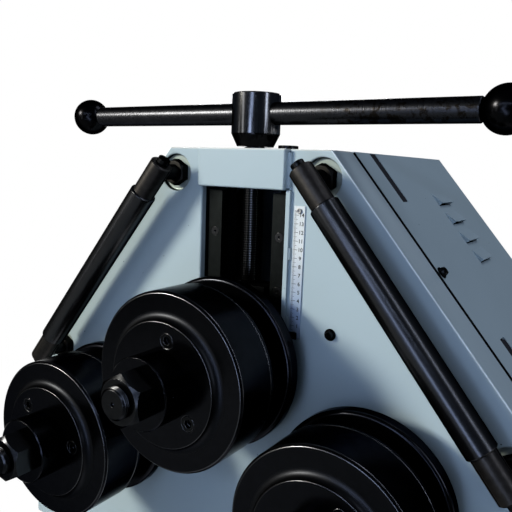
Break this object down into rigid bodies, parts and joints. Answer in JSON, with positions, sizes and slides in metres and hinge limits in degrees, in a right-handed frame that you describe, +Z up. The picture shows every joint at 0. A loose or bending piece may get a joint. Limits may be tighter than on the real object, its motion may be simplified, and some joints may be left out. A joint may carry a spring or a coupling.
{
  "type": "angle roll bender",
  "caption": "Powered bender on a floor stand: a top roll on a screw-driven slide presses angle bar between driven lower rolls, with guide bars beside them.",
  "frame": {"origin": "on the floor, at the centre of the four anchor holes", "axes": "+Z up; the rolls face -Y; +X is to the right for someone facing the rolls"},
  "size_m": [0.84, 0.629, 1.3169],
  "materials": {
    "paint": "light blue-grey enamel, semi-gloss",
    "paint_dark": "blue-grey enamel, satin",
    "black_steel": "black oxide, oiled",
    "dark_steel": "dark turned steel, oiled",
    "bare_steel": "bare machined steel",
    "scale": "satin, engraved marks filled black",
    "bronze": "machined bronze",
    "gear_steel": "cut gear steel, greased",
    "motor_paint": "dark blue-grey machine enamel",
    "box_paint": "light grey powder coat",
    "switch_plastic": "black moulded",
    "stop_plastic": "signal red moulded",
    "knob_plastic": "black phenolic",
    "thread_steel": "machined thread, oiled",
    "handle_steel": "brown-black oxide, oiled",
    "roll_steel": "hardened roll, black oxide, oiled"
  },
  "bodies": {
    "frame": {"front_frame": "paint", "bridge_block": "paint", "slide_gibs": "black_steel", "gib_screws": "black_steel", "slot_edge_strip": "paint", "scale_plate": "scale", "scale_screws": "bare_steel", "lock_screw": "dark_steel", "spindle_nut": "bronze", "guide_bars": "black_steel", "bar_studs": "dark_steel", "bar_nuts": "dark_steel", "bar_end_screws": "dark_steel", "roll_shaft_bearings": "bare_steel", "rear_plate": "paint_dark", "tie_bars": "dark_steel", "left_side_cover": "paint", "right_side_cover": "paint", "top_back_cover": "paint", "cover_screws": "black_steel", "base_cabinet": "paint", "base_plate": "paint_dark", "drive_motor": "motor_paint", "gearbox": "motor_paint", "control_box": "box_paint", "cable_gland": "switch_plastic"},
    "carriage": {"carriage": "dark_steel", "carriage_bushes": "bronze", "spindle_retainer": "bare_steel", "scale_pointer": "black_steel"},
    "spindle": {"spindle": "thread_steel", "handle_hub": "handle_steel", "handle_rod": "handle_steel", "handle_knobs": "knob_plastic"},
    "top_roll": {"top_shaft": "thread_steel", "top_lock_ring": "bare_steel", "top_rear_flange": "roll_steel", "top_front_ring": "roll_steel", "top_collar": "roll_steel", "top_nut": "handle_steel", "top_screws": "handle_steel"},
    "left_roll": {"left_shaft": "thread_steel", "left_keys": "bare_steel", "left_gear": "gear_steel", "left_rear_flange": "roll_steel", "left_front_ring": "roll_steel", "left_collar": "roll_steel", "left_nut": "handle_steel", "left_screws": "handle_steel"},
    "right_roll": {"right_shaft": "thread_steel", "right_keys": "bare_steel", "right_gear": "gear_steel", "right_rear_flange": "roll_steel", "right_front_ring": "roll_steel", "right_collar": "roll_steel", "right_nut": "handle_steel", "right_screws": "handle_steel"},
    "drive": {"drive_pinion": "gear_steel"},
    "switch": {"direction_switch": "switch_plastic"},
    "stop_button": {"emergency_stop": "stop_plastic"}
  },
  "joints": [
    {"name": "spindle_turn", "type": "hinge", "parent": "carriage", "child": "spindle", "pos_m": [0, -0.1745, 1.25], "axis": [0, 0, 1], "range_deg": [0, 13200]},
    {"name": "carriage_travel", "type": "slide", "parent": "frame", "child": "carriage", "axis": [0, 0, 1], "range_m": [0, 0.11]},
    {"name": "top_roll_spin", "type": "hinge", "parent": "carriage", "child": "top_roll", "pos_m": [0, -0.198, 0.996], "axis": [0, 1, 0], "continuous": true},
    {"name": "left_roll_spin", "type": "hinge", "parent": "frame", "child": "left_roll", "pos_m": [-0.19, -0.198, 0.878], "axis": [0, 1, 0], "continuous": true},
    {"name": "right_roll_spin", "type": "hinge", "parent": "frame", "child": "right_roll", "pos_m": [0.19, -0.198, 0.878], "axis": [0, 1, 0], "continuous": true},
    {"name": "drive_spin", "type": "hinge", "parent": "frame", "child": "drive", "pos_m": [0, -0.198, 0.83413], "axis": [0, 1, 0], "continuous": true},
    {"name": "switch_turn", "type": "hinge", "parent": "frame", "child": "switch", "pos_m": [0.22, -0.238, 0.5024], "axis": [0, 1, 0], "range_deg": [-60, 60]},
    {"name": "stop_press", "type": "slide", "parent": "frame", "child": "stop_button", "axis": [0, 1, 0], "range_m": [0, 0.005], "stiffness_N_per_m": 600, "springref_m": -0.002}
  ],
  "couplings": [
    {"joint": "carriage_travel", "follows": "spindle_turn", "m_per_rad": 0.00047746},
    {"joint": "right_roll_spin", "follows": "left_roll_spin", "ratio": 1},
    {"joint": "drive_spin", "follows": "left_roll_spin", "ratio": -2.25}
  ]
}
